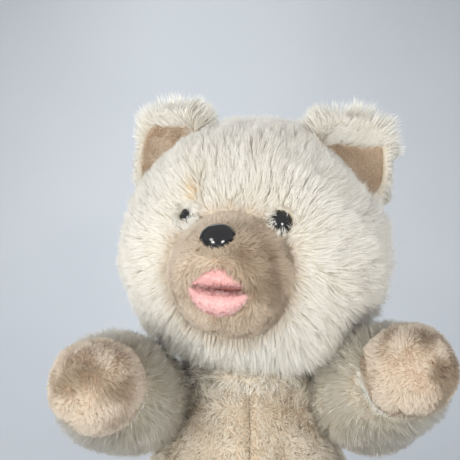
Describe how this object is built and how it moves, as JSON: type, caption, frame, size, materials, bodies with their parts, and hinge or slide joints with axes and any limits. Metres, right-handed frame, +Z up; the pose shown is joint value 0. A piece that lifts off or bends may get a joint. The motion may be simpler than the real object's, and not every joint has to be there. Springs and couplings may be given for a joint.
{
  "type": "hand puppet",
  "caption": "Plush bear hand puppet: a glove body, arms that swing and lift, a head that turns, tilts and nods, and a mouth that opens.",
  "frame": {"origin": "centre of the hand opening, on the plane that the hem stands on", "axes": "+Z up from the hand opening to the head, -Y forward (the way the body looks), +X to the puppet's own left"},
  "size_m": [0.1949, 0.1628, 0.2633],
  "materials": {
    "cream_long_pile": "long soft plush pile, matte",
    "cream_short_pile": "short curly plush pile, matte",
    "tan_short_pile": "dense short plush pile, matte",
    "pink_pile": "very short plush pile, matte",
    "glossy_black": "moulded and polished",
    "white_plastic": "moulded, unpainted",
    "lining_cloth": "plain woven polyester",
    "polyester_fill": "loose polyester fibre, compressed",
    "satin_ribbon": "woven ribbon, blank"
  },
  "bodies": {
    "body": {"back_left_panel": "cream_short_pile", "back_right_panel": "cream_short_pile", "front_left_panel": "cream_short_pile", "front_right_panel": "cream_short_pile", "body_lining": "lining_cloth", "hem_band": "cream_short_pile", "care_label": "satin_ribbon"},
    "neck_ring": {"neck_collar": "cream_short_pile"},
    "neck_core": {"finger_tube": "white_plastic"},
    "head": {"head_back_panel": "cream_long_pile", "head_gusset": "cream_long_pile", "head_left_panel": "cream_long_pile", "head_right_panel": "cream_long_pile", "head_stuffing": "polyester_fill", "head_pocket": "lining_cloth", "muzzle_panel": "tan_short_pile", "upper_mouth_lining": "pink_pile", "nose": "glossy_black", "nose_washer": "white_plastic", "left_eye": "glossy_black", "right_eye": "glossy_black", "left_eye_washer": "white_plastic", "right_eye_washer": "white_plastic", "left_ear_back": "cream_long_pile", "left_ear_lining": "tan_short_pile", "right_ear_back": "cream_long_pile", "right_ear_lining": "tan_short_pile"},
    "jaw": {"chin_panel": "tan_short_pile", "chin_stuffing": "polyester_fill", "lower_mouth_lining": "pink_pile"},
    "left_shoulder": {"left_shoulder_gusset": "cream_short_pile"},
    "left_arm": {"left_arm_sleeve": "cream_long_pile", "left_paw_pad": "tan_short_pile", "left_arm_pocket": "lining_cloth", "left_arm_stuffing": "polyester_fill"},
    "right_shoulder": {"right_shoulder_gusset": "cream_short_pile"},
    "right_arm": {"right_arm_sleeve": "cream_long_pile", "right_paw_pad": "tan_short_pile", "right_arm_pocket": "lining_cloth", "right_arm_stuffing": "polyester_fill"}
  },
  "joints": [
    {"name": "neck_turn", "type": "hinge", "parent": "body", "child": "neck_ring", "pos_m": [0, 0, 0.16], "axis": [0, 0, 1], "range_deg": [-28, 52], "stiffness_Nm_per_rad": 0.6},
    {"name": "head_tilt", "type": "hinge", "parent": "neck_ring", "child": "neck_core", "pos_m": [0, 0, 0.16], "axis": [0.2079, 0.9781, 0], "range_deg": [-18, 12], "stiffness_Nm_per_rad": 0.8},
    {"name": "head_nod", "type": "hinge", "parent": "neck_core", "child": "head", "pos_m": [0, 0, 0.16], "axis": [-0.977, 0.2077, 0.0488], "range_deg": [-24, 15], "stiffness_Nm_per_rad": 0.8},
    {"name": "jaw_open", "type": "hinge", "parent": "head", "child": "jaw", "pos_m": [-0.01144, -0.05776, 0.17665], "axis": [0.977, -0.2077, -0.0488], "range_deg": [0, 18], "stiffness_Nm_per_rad": 0.03},
    {"name": "left_arm_swing", "type": "hinge", "parent": "body", "child": "left_shoulder", "pos_m": [0.064, -0.02, 0.112], "axis": [0, 0, 1], "range_deg": [-38, 57], "stiffness_Nm_per_rad": 0.15},
    {"name": "left_arm_raise", "type": "hinge", "parent": "left_shoulder", "child": "left_arm", "pos_m": [0.064, -0.02, 0.112], "axis": [-0.9746, -0.224, 0], "range_deg": [-55, 24], "stiffness_Nm_per_rad": 0.2},
    {"name": "right_arm_swing", "type": "hinge", "parent": "body", "child": "right_shoulder", "pos_m": [-0.064, -0.02, 0.112], "axis": [0, 0, -1], "range_deg": [-35, 60], "stiffness_Nm_per_rad": 0.15},
    {"name": "right_arm_raise", "type": "hinge", "parent": "right_shoulder", "child": "right_arm", "pos_m": [-0.064, -0.02, 0.112], "axis": [-0.9849, 0.1732, 0], "range_deg": [-48, 31], "stiffness_Nm_per_rad": 0.2}
  ]
}
